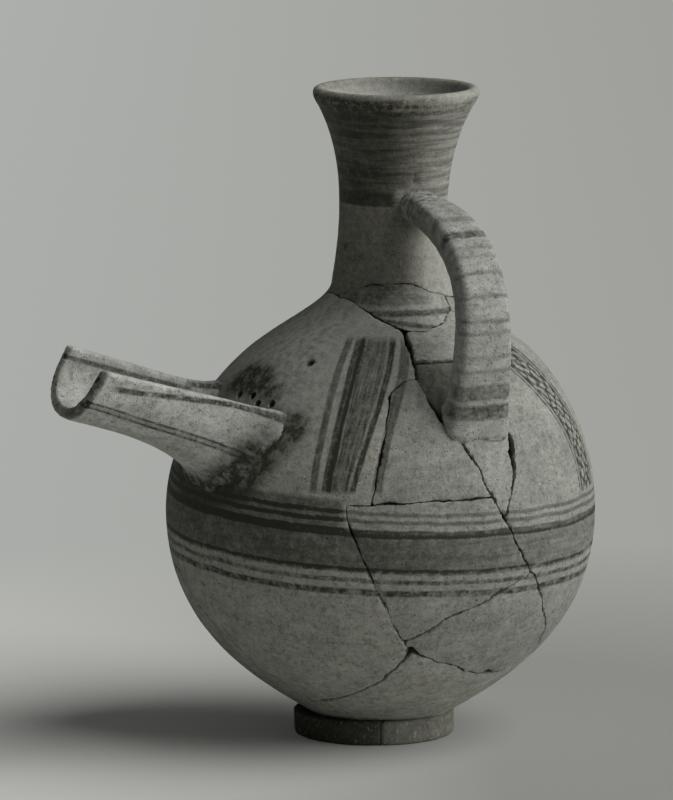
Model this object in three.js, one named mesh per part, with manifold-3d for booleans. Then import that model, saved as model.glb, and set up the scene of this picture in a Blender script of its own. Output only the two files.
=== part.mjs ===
// Strainer jug of painted clay: a thrown pot with a flared neck, an open trough spout luted over a
// pierced strainer, a strap handle and a disc foot, broken long ago and mended from its sherds.
// Millimetres, +Z up, spout along +X. The origin is where the belly's axis meets the foot's underside.

import * as THREE from 'three';
import { mergeVertices } from 'three/addons/utils/BufferGeometryUtils.js';
import Module from 'manifold-3d';

const wasm = await Module();
wasm.setup();

// Foot: a thick clay disc, set a little off the belly's axis
const footRadius = 27.4;
const footHeight = 8.2;
const footEdge = 0.9;
const footDrift = 2.2;
const footDriftAzimuth = -35;

// Thrown pot: belly and shoulder
const wall = 4.5;
const floorThickness = 5;
const seatRadius = 25;
const heelRadius = 41.5;
const heelHeight = 19;
const bellyRadius = 72.5;
const bellyHeight = 77;
const bellyPullDown = 41.4;
const bellyPullUp = 24;
const shoulderRadius = 46.2;
const shoulderHeight = 132;
const shoulderSlope = 39.7;
const shoulderPullDown = 16;
const shoulderPullUp = 13;

// Thrown pot: collar, neck and lip
const collarRadius = 20.1;
const collarHeight = 154;
const collarFlare = 0.5;
const collarPullDown = 6.5;
const neckPullUp = 6;
const waistPull = 13;
const flareHeight = 23;
const lipRadius = 27.9;
const lipHeight = 216.5;

// The shoulder leans over from the belly up, so the neck sits off the belly's axis and leans the same way
const neckDrift = 3.6;
const neckLean = 0.026;
const neckDriftAzimuth = 145;

// Trough spout: an open gutter that rises outwards, twisted a little to one side
const spoutReach = 120.2;
const spoutRimHeight = 138.1;
const spoutRise = 16.3;
const spoutTipWidth = 27.7;
const spoutRootWidth = 34;
const spoutTipDepth = 20.7;
const spoutRootDepth = 25.5;
const spoutDepthBend = 3;
const spoutCornerSetBack = 2.2;
const spoutTipTwist = 14;
const spoutRootTwist = 6.5;
const spoutWall = 4;
const spoutFlare = 4.5;
const spoutFlareOut = 9;
const spoutFlareLength = 22;
const gutterSquareness = 2.5;

// Strainer: holes pierced by hand through the pot wall behind the spout, as [longitude, latitude]
// from the middle of the belly
const strainerHole = 2.7;
const strainerHoles = [
  [-2.5, 37.6], [4.8, 38.2], [9.2, 36.1], [15.4, 36.6],
  [-8, 33], [-2.1, 32.5], [3.8, 32], [9.7, 31.5],
  [-5, 27.3], [0.2, 26.8], [5.4, 26.3],
];

// Strap handle from the neck to the shoulder
const handleAzimuth = 82;
const handleOffset = 3.9;
const handleTopWidth = 11.5;
const handleWidth = 17;
const handleFootWidth = 22;
const handleWidthAt = 0.5;
const handleThickness = 10;
const handleTopHeight = 181.5;
const handleReach = 66.8;
const handleReachHeight = 146;
const handleCrownRun = 23;
const handleCrownRise = 2;
const handleBendRise = 26;
const handleBendDrop = 15;
const handleFootHeight = 100;
const handleFootSlant = 10.5;
const handleFootRun = 5.5;
const strapSquareness = 2.7;

// Clay joints and mended breaks
const lutingGap = 0.3;
const mendGap = 0.4;
const fillDrop = 1.8;
const breakReach = 27;

// Breaks seen from the middle of the belly, as [longitude, latitude, gap if it has lost its edge]
const baseBreak = [
  [64.6, -32.2, 1.6], [77, -37.5], [87, -42], [100.6, -45.3, 1], [118, -44.5], [133, -40],
  [165, -35], [205, -31], [245, -24], [290, -17], [325, -12], [340.5, -14.7], [345, -20],
  [355, -30], [362, -38.5], [361.5, -53], [373.5, -60, 0.7], [399.5, -54, 0.9], [408.6, -49.5, 0.7],
  [416.7, -43.6, 0.7],
];
const handleSideBreak = [
  [64, 76], [69, 58, 1.8], [69, 45], [70.6, 40.4], [74.4, 33, 2.2], [78.2, 29.2, 0.7], [83.6, 17],
  [88.6, 6.8], [93, -1], [99, -10], [104, -15], [109.5, -23], [117, -30], [128, -43],
];
const frontShoulderBreak = [
  [69.6, 45.5], [64, 45], [58, 40.4, 0.8], [56.7, 31.3], [53.5, 14.5], [52.4, 9.6],
];
const bellyTopBreak = [[45.6, 10.7], [52.5, 10], [62, 10.6], [73, 10.9, 0.6], [87.2, 10.6]];
const frontBellyBreak = [
  [46, 11.1], [46, 7.5], [47.6, 2.4], [52.8, -9.6], [59.2, -23.8], [66, -34.5],
];
const cornerBreak = [
  [61, -28.9], [68, -26], [73.6, -22], [79.4, -20], [88.8, -15.8], [100.4, -10.4],
];
const handleRootBreak = [[77.6, 29], [81.8, 30.1], [89.2, 27.3], [95.9, 28.5]];
const handleRootGap = [[95.9, 28.9], [95.6, 22, 2.3], [94.9, 17.5, 1.4], [92.2, 9.6], [89.4, 4.6]];
const fillLedge = [[68.4, 51], [88, 50.5], [90.5, 40], [87, 32], [81.8, 29.6]];
const backBreak = [[234, 82], [222, 60], [232, 35], [225, 10], [231, -12], [222, -35]];

// Breaks seen from the belly's axis, at the root of the neck
const collarCentreRise = 2;
const neckBreak = [
  [-35, 42], [0, 42.5], [30, 47.5], [70, 47.5], [105, 38.5],
  [125, 32], [145, 30], [190, 34], [240, 40], [290, 42],
];
const collarBreak = [
  [-16, 49], [-7, 43], [15, 40], [35, 33.7], [51, 23],
  [67, 13, 1], [81, 11], [97, 16], [112, 24], [122, 40],
];

// The break across the foot, as [azimuth, radius] in plan
const footBreak = [[53.8, 30], [80, 11], [140, 7], [208, 30]];

// Facets
const turnSegments = 48;
const innerFineness = 0.7;
const footSegments = 40;
const handleStations = 16;
const strapPoints = 16;
const spoutStations = 12;
const gutterSteps = 10;
const holeSegments = 8;
const lipSteps = 5;

const clay = { color: 0x8b8c86, roughness: 0.85, metalness: 0 };
const darkClay = { color: 0x5c5c52, roughness: 0.85, metalness: 0 };
const paleClay = { color: 0x9c9d97, roughness: 0.82, metalness: 0 };
const fillPlaster = { color: 0x54544a, roughness: 0.95, metalness: 0 };

// The sherds of the wall, each with a ray from the middle of the belly that meets it
const wallSherds = [
  { name: 'spout_wall', longitude: 10, latitude: 20, finish: darkClay },
  { name: 'handle_wall', longitude: 150, latitude: 20, finish: clay },
  { name: 'front_shoulder_sherd', longitude: 65, latitude: 25, finish: paleClay },
  { name: 'front_belly_sherd', longitude: 70, latitude: 0, finish: clay },
  { name: 'belly_corner_sherd', longitude: 90, latitude: -28, finish: clay },
  { name: 'handle_root_sherd', longitude: 89, latitude: 20, finish: paleClay },
];
const fillRay = { longitude: 78, latitude: 44 };
const baseRay = { longitude: 0, latitude: -80 };
const rayWidth = 2;

const seatHeight = footHeight + lutingGap;
const collarCentreHeight = shoulderHeight + collarCentreRise;
const { clamp, degToRad, lerp, smoothstep } = THREE.MathUtils;

function flat(radius, height) {
  return new THREE.Vector2(radius, height);
}

function towards(azimuth, radius, height) {
  const turn = degToRad(azimuth);
  return new THREE.Vector3(radius * Math.cos(turn), radius * Math.sin(turn), height);
}

// Solids from geometry and back

function solidOf(geometry) {
  geometry.deleteAttribute('normal');
  geometry.deleteAttribute('uv');
  const welded = mergeVertices(geometry);
  const corners = welded.index.array;
  const kept = [];
  for (let i = 0; i < corners.length; i += 3) {
    const [a, b, c] = corners.slice(i, i + 3);
    if (a !== b && b !== c && c !== a) kept.push(a, b, c);
  }
  return new wasm.Manifold(new wasm.Mesh({
    numProp: 3,
    vertProperties: new Float32Array(welded.attributes.position.array),
    triVerts: new Uint32Array(kept),
  }));
}

function meshOf(solid, name, finish) {
  const { vertProperties, triVerts } = solid.getMesh();
  const geometry = new THREE.BufferGeometry();
  geometry.setAttribute('position', new THREE.BufferAttribute(vertProperties, 3));
  geometry.setIndex(new THREE.BufferAttribute(triVerts, 1));
  geometry.computeVertexNormals();
  const mesh = new THREE.Mesh(geometry, new THREE.MeshStandardMaterial(finish));
  mesh.name = name;
  return mesh;
}

function turned(profile, segments) {
  return new THREE.LatheGeometry(profile, segments).rotateX(Math.PI / 2);
}

// A closed skin through rings of equal length, capped by fans at both ends or joined end to end
function loft(rings, closed = false) {
  const size = rings[0].length;
  const points = rings.flat();
  const faces = [];
  const last = closed ? rings.length : rings.length - 1;
  for (let i = 0; i < last; i += 1) {
    const next = (i + 1) % rings.length;
    for (let j = 0; j < size; j += 1) {
      const k = (j + 1) % size;
      const corners = [i * size + j, i * size + k, next * size + k, next * size + j];
      faces.push(corners[0], corners[2], corners[1], corners[0], corners[3], corners[2]);
    }
  }
  if (!closed) {
    const flatRing = (ring) => ring.map((point) => planar(point, ring));
    const cap = (ring) => THREE.ShapeUtils.triangulateShape(flatRing(ring), []);
    const end = (rings.length - 1) * size;
    for (const [a, b, c] of cap(rings[0])) faces.push(a, b, c);
    for (const [a, b, c] of cap(rings[rings.length - 1])) faces.push(end + c, end + b, end + a);
  }
  const geometry = new THREE.BufferGeometry().setFromPoints(points);
  geometry.setIndex(faces);
  return geometry;
}

// A ring's point in the ring's own plane, so that an end can be filled
function planar(point, ring) {
  const normal = new THREE.Vector3();
  for (let i = 0; i < ring.length; i += 1) normal.add(ring[i].clone().cross(ring[(i + 1) % ring.length]));
  const across = ring[1].clone().sub(ring[0]).projectOnPlane(normal).normalize();
  const up = normal.normalize().clone().cross(across);
  return flat(point.dot(across), point.dot(up));
}

// The pot's outline, from its seat on the foot up to the lip

const slope = flat(-Math.cos(degToRad(shoulderSlope)), Math.sin(degToRad(shoulderSlope)));
const shoulderPoint = flat(shoulderRadius, shoulderHeight);
const collarPoint = flat(collarRadius, collarHeight);
const bellyPoint = flat(bellyRadius, bellyHeight);
const lipPoint = flat(lipRadius, lipHeight);

const outlineCurves = [
  {
    steps: 8,
    curve: new THREE.CubicBezierCurve(
      flat(seatRadius, seatHeight),
      flat(heelRadius, heelHeight),
      flat(bellyRadius, bellyHeight - bellyPullDown),
      bellyPoint,
    ),
  },
  {
    steps: 6,
    curve: new THREE.CubicBezierCurve(
      bellyPoint,
      flat(bellyRadius, bellyHeight + bellyPullUp),
      shoulderPoint.clone().addScaledVector(slope, -shoulderPullDown),
      shoulderPoint,
    ),
  },
  {
    steps: 5,
    curve: new THREE.CubicBezierCurve(
      shoulderPoint,
      shoulderPoint.clone().addScaledVector(slope, shoulderPullUp),
      flat(collarRadius + collarFlare, collarHeight - collarPullDown),
      collarPoint,
    ),
  },
  {
    steps: 7,
    curve: new THREE.CubicBezierCurve(
      collarPoint,
      flat(collarRadius - collarFlare, collarHeight + neckPullUp),
      flat(waistPull, lipHeight - flareHeight),
      lipPoint,
    ),
  },
];

function outline(offset, fineness = 1) {
  const points = [];
  for (const { curve, steps } of outlineCurves) {
    const count = Math.round(steps * fineness);
    for (let i = points.length ? 1 : 0; i <= count; i += 1) {
      const point = curve.getPoint(i / count);
      const tangent = curve.getTangent(i / count);
      points.push(flat(point.x + offset * tangent.y, point.y - offset * tangent.x));
    }
  }
  return points;
}

// The lip closes the wall with a half round
function lipRound() {
  const tangent = outlineCurves.at(-1).curve.getTangent(1);
  const outward = flat(tangent.y, -tangent.x);
  const middle = lipPoint.clone().addScaledVector(outward, -wall / 2);
  const points = [];
  for (let i = 1; i < lipSteps; i += 1) {
    const turn = (Math.PI * i) / lipSteps;
    const point = middle.clone().addScaledVector(outward, (wall / 2) * Math.cos(turn));
    points.push(point.addScaledVector(tangent, (wall / 2) * Math.sin(turn)));
  }
  return points;
}

function axisDrift(height) {
  const settled = neckDrift * smoothstep(height, bellyHeight, collarHeight);
  return settled + neckLean * Math.max(0, height - collarHeight);
}

// Every turned form of the pot follows the drifting axis
function drifted(geometry) {
  const place = geometry.attributes.position;
  for (let i = 0; i < place.count; i += 1) {
    const shift = towards(neckDriftAzimuth, axisDrift(place.getZ(i)), 0);
    place.setXY(i, place.getX(i) + shift.x, place.getY(i) + shift.y);
  }
  return geometry;
}

function thrownPot() {
  const profile = [
    flat(0, seatHeight),
    ...outline(0),
    ...lipRound(),
    ...outline(-wall, innerFineness).reverse(),
    flat(0, seatHeight + floorThickness),
  ];
  return solidOf(drifted(turned(profile, turnSegments)));
}

// The pot without its hollow, grown by a margin: what is luted on is cut back to it
function potEnvelope(margin) {
  const profile = outline(margin);
  const bottom = profile[0].y;
  const top = profile.at(-1).y + wall;
  profile.push(flat(profile.at(-1).x, top));
  return solidOf(drifted(turned([flat(0, bottom), ...profile, flat(0, top)], turnSegments)));
}

// Breaks: thin blades that run square through the wall

function blade(stations, closed = false) {
  const rings = stations.map(({ near, far, gap }, i) => {
    const before = stations[closed ? (i + stations.length - 1) % stations.length : Math.max(i - 1, 0)];
    const after = stations[closed ? (i + 1) % stations.length : Math.min(i + 1, stations.length - 1)];
    const along = after.far.clone().sub(before.far);
    const side = far.clone().sub(near).cross(along).setLength(gap / 2);
    return [near.clone().add(side), near.clone().sub(side), far.clone().sub(side), far.clone().add(side)];
  });
  return solidOf(loft(rings, closed));
}

function breakFrom(height, innerReach, outerReach, path, closed = false) {
  const centre = new THREE.Vector3(0, 0, height);
  const stations = path.map(([longitude, latitude, gap = mendGap]) => {
    const lift = degToRad(latitude);
    const ray = towards(longitude, Math.cos(lift), Math.sin(lift));
    return {
      near: centre.clone().addScaledVector(ray, innerReach),
      far: centre.clone().addScaledVector(ray, outerReach),
      gap,
    };
  });
  return blade(stations, closed);
}

function bellyBreak(path, closed) {
  return breakFrom(bellyHeight, bellyRadius - breakReach, bellyRadius + breakReach, path, closed);
}

function rootBreak(path, closed) {
  const innerReach = collarRadius - 2 * wall;
  return breakFrom(collarCentreHeight, innerReach, collarRadius + breakReach, path, closed);
}

// The sherd that lies across a ray from the middle of the belly
function sherdAt(sherds, { longitude, latitude }) {
  const side = rayWidth / 2;
  const probe = bellyBreak([[longitude - side, latitude], [longitude + side, latitude]]);
  const shares = sherds.map((sherd) => sherd.intersect(probe).volume());
  return sherds[shares.indexOf(Math.max(...shares))];
}

function joined(solids) {
  return solids.reduce((whole, solid) => whole.add(solid));
}

function highest(solids) {
  const tops = solids.map((solid) => solid.boundingBox().max[2]);
  return solids[tops.indexOf(Math.max(...tops))];
}

function strainerDrill(longitude, latitude) {
  const radius = strainerHole / 2;
  const drill = new THREE.CylinderGeometry(radius, radius, 2 * breakReach, holeSegments);
  const lift = degToRad(latitude);
  const ray = towards(longitude, Math.cos(lift), Math.sin(lift));
  drill.applyQuaternion(new THREE.Quaternion().setFromUnitVectors(new THREE.Vector3(0, 1, 0), ray));
  const middle = ray.multiplyScalar(bellyRadius);
  return solidOf(drill.translate(middle.x, middle.y, bellyHeight + middle.z));
}

function strainerPot() {
  const drills = strainerHoles.map(([longitude, latitude]) => strainerDrill(longitude, latitude));
  return drills.reduce((pot, drill) => pot.subtract(drill), thrownPot());
}

function brokenPot() {
  const pot = strainerPot();

  const atNeck = pot.subtract(rootBreak(neckBreak, true)).decompose();
  const neck = highest(atNeck);
  const belowNeck = joined(atNeck.filter((solid) => solid !== neck));

  const atCollar = belowNeck.subtract(rootBreak(collarBreak)).decompose();
  const collarSherd = highest(atCollar);
  const belowCollar = joined(atCollar.filter((solid) => solid !== collarSherd));

  const atBase = belowCollar.subtract(bellyBreak(baseBreak, true)).decompose();
  const baseBowl = sherdAt(atBase, baseRay);
  const wallRing = joined(atBase.filter((solid) => solid !== baseBowl));

  const wallBreaks = [
    handleSideBreak, frontShoulderBreak, bellyTopBreak, frontBellyBreak, cornerBreak,
    handleRootBreak, handleRootGap, fillLedge, backBreak,
  ];
  const broken = wallBreaks.reduce((solid, path) => solid.subtract(bellyBreak(path)), wallRing);
  const walls = broken.decompose();
  const fill = sherdAt(walls, fillRay).intersect(potEnvelope(-fillDrop));

  return [
    meshOf(neck, 'neck', darkClay),
    meshOf(collarSherd, 'collar_sherd', clay),
    ...wallSherds.map((sherd) => meshOf(sherdAt(walls, sherd), sherd.name, sherd.finish)),
    meshOf(fill, 'shoulder_fill', fillPlaster),
    meshOf(baseBowl, 'base_bowl', darkClay),
  ];
}

// The foot disc under the base, broken across

function footHalves() {
  const profile = [
    flat(0, 0),
    flat(footRadius - footEdge, 0),
    flat(footRadius - footEdge * (1 - Math.SQRT1_2), footEdge * (1 - Math.SQRT1_2)),
    flat(footRadius, footEdge),
    flat(footRadius, footHeight),
    flat(0, footHeight),
  ];
  const middle = towards(footDriftAzimuth, footDrift, 0);
  const disc = solidOf(turned(profile, footSegments).translate(middle.x, middle.y, 0));
  const stations = footBreak.map(([azimuth, radius]) => ({
    near: towards(azimuth, radius, -footHeight),
    far: towards(azimuth, radius, 2 * footHeight),
    gap: mendGap,
  }));
  const halves = disc.subtract(blade(stations)).decompose();
  halves.sort((a, b) => b.volume() - a.volume());
  return [meshOf(halves[0], 'foot_main_half', darkClay), meshOf(halves[1], 'foot_small_half', clay)];
}

// A rounded oblong, from an ellipse to a square as its squareness grows
function oblong(turn, halfWidth, halfHeight, squareness) {
  const bend = 2 / squareness;
  const across = Math.sign(Math.cos(turn)) * Math.abs(Math.cos(turn)) ** bend;
  const up = Math.sign(Math.sin(turn)) * Math.abs(Math.sin(turn)) ** bend;
  return flat(halfWidth * across, halfHeight * up);
}

// The trough spout, cut back to the wall that it is luted to

function gutterRing(reach) {
  const along = clamp((reach - bellyRadius) / (spoutReach - bellyRadius), 0, 1);
  const spread = Math.max(0, bellyRadius + spoutFlareOut - reach) / spoutFlareLength;
  const flare = spoutFlare * spread * spread;
  const halfWidth = lerp(spoutRootWidth, spoutTipWidth, along) / 2 + flare;
  const depth = lerp(spoutTipDepth, spoutRootDepth, (1 - along) ** spoutDepthBend);
  const twist = degToRad(lerp(spoutRootTwist, spoutTipTwist, along));
  const rise = degToRad(spoutRise);

  const rim = new THREE.Vector3(reach, 0, spoutRimHeight - (spoutReach - reach) * Math.tan(rise));
  const upright = new THREE.Vector3(-Math.sin(rise), 0, Math.cos(rise));
  const sideways = new THREE.Vector3(0, 1, 0);
  const up = upright.clone().multiplyScalar(Math.cos(twist)).addScaledVector(sideways, Math.sin(twist));
  const across = sideways.multiplyScalar(Math.cos(twist)).addScaledVector(upright, -Math.sin(twist));

  const ring = [];
  const follow = (half, deep, turn) => {
    const point = oblong(turn, half, deep, gutterSquareness);
    const place = rim.clone().addScaledVector(across, point.x).addScaledVector(up, point.y);
    place.x -= spoutCornerSetBack * along * (1 + point.y / deep) ** 2;
    ring.push(place);
  };
  for (let i = 0; i <= gutterSteps; i += 1) {
    follow(halfWidth, depth + flare, (-Math.PI * i) / gutterSteps);
  }
  for (let i = gutterSteps; i >= 0; i -= 1) {
    follow(halfWidth - spoutWall, depth - spoutWall, (-Math.PI * i) / gutterSteps);
  }
  return ring;
}

function troughSpout() {
  const rings = Array.from({ length: spoutStations + 1 }, (_, i) => (
    gutterRing(lerp(shoulderRadius, spoutReach, i / spoutStations))
  ));
  const trough = solidOf(loft(rings)).subtract(potEnvelope(lutingGap));
  return meshOf(trough, 'trough_spout', paleClay);
}

// The strap handle, cut back to the neck and the shoulder

function handleCentre() {
  const neckEnd = flat(0, handleTopHeight);
  const bend = flat(handleReach, handleReachHeight);
  const rootEnd = flat(handleReach - handleFootSlant, handleFootHeight);
  const crown = new THREE.CubicBezierCurve(
    neckEnd,
    flat(handleReach - handleCrownRun, handleTopHeight + handleCrownRise),
    flat(handleReach, handleReachHeight + handleBendRise),
    bend,
  );
  const drop = new THREE.CubicBezierCurve(
    bend,
    flat(handleReach, handleReachHeight - handleBendDrop),
    rootEnd.clone().add(flat(handleFootRun, handleBendDrop)),
    rootEnd,
  );
  const path = new THREE.CurvePath();
  path.add(crown);
  path.add(drop);
  return path;
}

function strapWidth(at) {
  const upper = lerp(handleTopWidth, handleWidth, smoothstep(at, 0, handleWidthAt));
  return lerp(upper, handleFootWidth, smoothstep(at, handleWidthAt, 1));
}

function strapRing(path, at) {
  const point = path.getPointAt(at);
  const tangent = path.getTangentAt(at);
  const sideways = towards(handleAzimuth - 90, 1, 0);
  const outward = towards(handleAzimuth, -tangent.y, tangent.x);
  const centre = towards(handleAzimuth, point.x, point.y).addScaledVector(sideways, -handleOffset);
  return Array.from({ length: strapPoints }, (_, i) => {
    const turn = (2 * Math.PI * i) / strapPoints;
    const edge = oblong(turn, strapWidth(at) / 2, handleThickness / 2, strapSquareness);
    return centre.clone().addScaledVector(sideways, edge.x).addScaledVector(outward, edge.y);
  });
}

function strapHandle() {
  const path = handleCentre();
  const rings = Array.from({ length: handleStations + 1 }, (_, i) => strapRing(path, i / handleStations));
  const strap = solidOf(loft(rings)).subtract(potEnvelope(lutingGap));
  return meshOf(strap, 'strap_handle', paleClay);
}

const strainerJug = new THREE.Group();
strainerJug.add(...brokenPot(), ...footHalves(), troughSpout(), strapHandle());

export default strainerJug;
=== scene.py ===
"""A strainer jug of painted clay, mended from its sherds, on a plain pale floor."""

import math

import bmesh
import bpy
import numpy as np
from mathutils import Euler, Matrix, Vector, kdtree, noise


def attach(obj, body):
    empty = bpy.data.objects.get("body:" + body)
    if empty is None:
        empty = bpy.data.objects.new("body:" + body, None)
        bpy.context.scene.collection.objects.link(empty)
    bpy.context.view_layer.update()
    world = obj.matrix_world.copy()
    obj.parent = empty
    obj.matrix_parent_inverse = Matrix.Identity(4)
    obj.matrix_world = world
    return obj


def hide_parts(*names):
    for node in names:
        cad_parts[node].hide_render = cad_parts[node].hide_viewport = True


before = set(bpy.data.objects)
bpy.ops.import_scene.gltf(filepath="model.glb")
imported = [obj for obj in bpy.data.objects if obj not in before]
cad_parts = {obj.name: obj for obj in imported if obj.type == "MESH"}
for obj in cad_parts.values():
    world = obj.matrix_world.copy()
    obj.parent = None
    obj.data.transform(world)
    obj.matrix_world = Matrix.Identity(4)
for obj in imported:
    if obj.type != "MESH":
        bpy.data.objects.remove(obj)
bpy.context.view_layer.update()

# The thrown wall of the pot
# One fired clay body, thrown on a wheel, broken and glued together again from its sherds.
# Each sherd is a finer skin over its solid, drawn onto the wheel's own curve, with worn edges.

MM = 0.001
TINY = 1e-6

WALL = 4.5
SEAT = (25.0, 8.5)
HEEL = (41.5, 19.0)
BELLY = (72.5, 77.0)
SHOULDER = (46.2, 132.0)
COLLAR = (20.1, 154.0)
LIP = (27.9, 216.5)
WHEEL_CURVES = (
    (SEAT, HEEL, (72.5, 35.6), BELLY),
    (BELLY, (72.5, 101.0), (58.5, 121.8), SHOULDER),
    (SHOULDER, (36.2, 140.3), (20.6, 147.5), COLLAR),
    (COLLAR, (19.6, 160.0), (13.0, 193.5), LIP),
)
WHEEL_CURVE_STEPS = 160
NECK_DRIFT = 3.6
NECK_LEAN = 0.026
NECK_DRIFT_AZIMUTH = math.radians(145)


def bezier(corners, steps):
    """Points along a cubic curve."""
    a, b, c, d = (np.array(corner) for corner in corners)
    t = np.linspace(0, 1, steps)[:, None]
    return (1 - t) ** 3 * a + 3 * (1 - t) ** 2 * t * b + 3 * (1 - t) * t ** 2 * c + t ** 3 * d


wheel_curve = np.vstack([bezier(corners, WHEEL_CURVE_STEPS) for corners in WHEEL_CURVES])
wheel_heights = wheel_curve[:, 1]
wheel_radii = wheel_curve[:, 0]
rising_heights = wheel_heights + np.arange(len(wheel_heights)) * TINY
wheel_slopes = np.gradient(wheel_radii, rising_heights)


def ease(values, low, high):
    """Zero below low, one above high, and a smooth step between."""
    t = np.clip((values - low) / (high - low), 0, 1)
    return t * t * (3 - 2 * t)


def axis_shift(heights):
    """How far the wheel's axis has drifted at each height."""
    drift = NECK_DRIFT * ease(heights, BELLY[1], COLLAR[1])
    drift = drift + NECK_LEAN * np.maximum(0, heights - COLLAR[1])
    towards = np.array([math.cos(NECK_DRIFT_AZIMUTH), math.sin(NECK_DRIFT_AZIMUTH)])
    return drift[:, None] * towards


def wheel_place(points):
    """Depth of points under the pot's outer skin, and the skin's outward direction there."""
    heights = points[:, 2]
    flat = points[:, :2] - axis_shift(heights)
    radius = np.hypot(flat[:, 0], flat[:, 1])
    slope = np.interp(heights, wheel_heights, wheel_slopes)
    lean = 1 / np.sqrt(1 + slope ** 2)
    depth = (np.interp(heights, wheel_heights, wheel_radii) - radius) * lean
    spoke = flat / np.maximum(radius, TINY)[:, None]
    outward = np.column_stack([spoke * lean[:, None], -slope * lean])
    return depth, outward


def skin_radius(longitude, height):
    """Distance of the pot's outer skin from the belly's axis, at a longitude and a height."""
    turn = math.radians(longitude)
    shift = axis_shift(np.array([height]))[0] @ (math.cos(turn), math.sin(turn))
    return float(np.interp(height, wheel_heights, wheel_radii) + shift)


def points_of(piece):
    points = np.empty(len(piece.data.vertices) * 3)
    piece.data.vertices.foreach_get("co", points)
    return points.reshape(-1, 3) / MM


def place_points(piece, points):
    piece.data.vertices.foreach_set("co", (points * MM).ravel())
    piece.data.update()


def normals_of(piece):
    normals = np.empty(len(piece.data.vertices) * 3)
    piece.data.vertices.foreach_get("normal", normals)
    return normals.reshape(-1, 3)


def lumps(points, size, seed):
    """A soft uneven field, about -1 to 1, with lumps of the given size."""
    return np.array([noise.noise(Vector(point / size) + Vector((seed, 0, 0))) for point in points])


def apply_modifiers(piece):
    evaluated = piece.evaluated_get(bpy.context.evaluated_depsgraph_get())
    piece.data = bpy.data.meshes.new_from_object(evaluated)
    piece.modifiers.clear()


SMOOTHING = 0.5


def even_skin(node, voxel, rounds):
    """A copy of a solid with an even, fine skin whose edges are rounded a little."""
    piece = bpy.data.objects.new(node + "_clay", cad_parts[node].data.copy())
    bpy.context.scene.collection.objects.link(piece)
    skin = bmesh.new()
    skin.from_mesh(piece.data)
    bmesh.ops.remove_doubles(skin, verts=skin.verts, dist=TINY)
    skin.to_mesh(piece.data)
    skin.free()
    remesh = piece.modifiers.new("even_skin", "REMESH")
    remesh.mode = "VOXEL"
    remesh.voxel_size = voxel * MM
    apply_modifiers(piece)
    skin = bmesh.new()
    skin.from_mesh(piece.data)
    for _ in range(rounds):
        bmesh.ops.smooth_vert(
            skin, verts=skin.verts, factor=SMOOTHING, use_axis_x=True, use_axis_y=True, use_axis_z=True
        )
    for face in skin.faces:
        face.smooth = True
    skin.to_mesh(piece.data)
    skin.free()
    piece.data.materials.clear()
    return piece


def nearest(points, others):
    """Distance from each point to the nearest of the others."""
    tree = kdtree.KDTree(len(others))
    for index, other in enumerate(others):
        tree.insert(Vector(other), index)
    tree.balance()
    return np.array([tree.find(Vector(point))[2] for point in points])


BREAK_REACH = 6.0
BREAK_WAVES = ((0.9, 7.0), (0.4, 2.2))


def jagged(points, reach):
    """Shifts points near a break, alike on both of its sides, so that the break runs unevenly.

    The noise starts from the clock, so each run draws the breaks a little differently.
    """
    moved = points.copy()
    for index in np.flatnonzero(reach < BREAK_REACH):
        spot = Vector(points[index])
        waves = (height * noise.noise_vector(spot / length) for height, length in BREAK_WAVES)
        moved[index] += np.array(sum(waves, Vector())) * (1 - reach[index] / BREAK_REACH)
    return moved


PRESSED_DEPTH = 2.5


def pressed(piece, longitude, height, radius, depth):
    """Presses a small pit into a sherd's outer skin."""
    points = points_of(piece)
    turn = math.radians(longitude)
    bed = skin_radius(longitude, height)
    middle = np.array([bed * math.cos(turn), bed * math.sin(turn), height])
    under, outward = wheel_place(points)
    close = np.exp(-(np.linalg.norm(points - middle, axis=1) / radius) ** 2) * (under < PRESSED_DEPTH)
    place_points(piece, points - outward * (depth * close)[:, None])


SHERD_VOXEL = 0.88
SHERD_ROUNDS = 1
BREAK_DEPTHS = (0.3 * WALL, 0.7 * WALL)
BREAK_TOP = LIP[1] - 4
BREAK_CLOSE = 0.15
BREAK_CLOSE_REACH = 1.2
SKIN_DEPTHS = (0.7, 1.6)
HOLLOW_DEPTHS = (WALL - 1.4, WALL - 0.5)
LIP_ROUNDING = (LIP[1] - 3, LIP[1] - 1)
EDGE_REACH = (0.4, 1.9)
EDGE_WEAR = 0.02
EDGE_CHIP = 0.6
EDGE_CHIP_SIZE = 2.4
RIDGE_PITCH = 1.9
RIDGE_STRETCH = (0.06, 0.06, 1)
DENT_DEPTH = 0.16
DENT_SIZE = 9
LOST_CHIPS = ((64.6, 38.6, 1.6, 2.2), (99.4, 26.9, 1.2, 1.8), (101.8, 26.3, 1.2, 1.8))


def break_reach(points):
    """Distance of each point from the sherd's broken faces."""
    depth, _ = wheel_place(points)
    broken = (depth > BREAK_DEPTHS[0]) & (depth < BREAK_DEPTHS[1]) & (points[:, 2] < BREAK_TOP)
    return nearest(points, points[broken])


def skin_shift(points, reach, ridge, seed):
    """How far each point moves outwards to the wheel's curve, less its ridges, dents and worn edges."""
    depth, _ = wheel_place(points)
    on_skin = 1 - ease(depth, *SKIN_DEPTHS)
    on_hollow = ease(depth, *HOLLOW_DEPTHS)
    below_lip = 1 - ease(points[:, 2], *LIP_ROUNDING)
    shift = (depth * on_skin + (depth - WALL) * on_hollow) * below_lip
    edge = on_skin * (1 - ease(reach, *EDGE_REACH))
    chips = np.clip(lumps(points, EDGE_CHIP_SIZE, seed), 0, 1)
    shift -= edge * (EDGE_WEAR + EDGE_CHIP * chips ** 2)
    turns = lumps(points * RIDGE_STRETCH, RIDGE_PITCH, seed + 3)
    shift -= on_skin * ridge * (0.5 + 0.5 * turns)
    dents = lumps(points, DENT_SIZE, seed + 5)
    shift -= on_skin * DENT_DEPTH * (0.5 + 0.5 * dents)
    return shift


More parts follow.
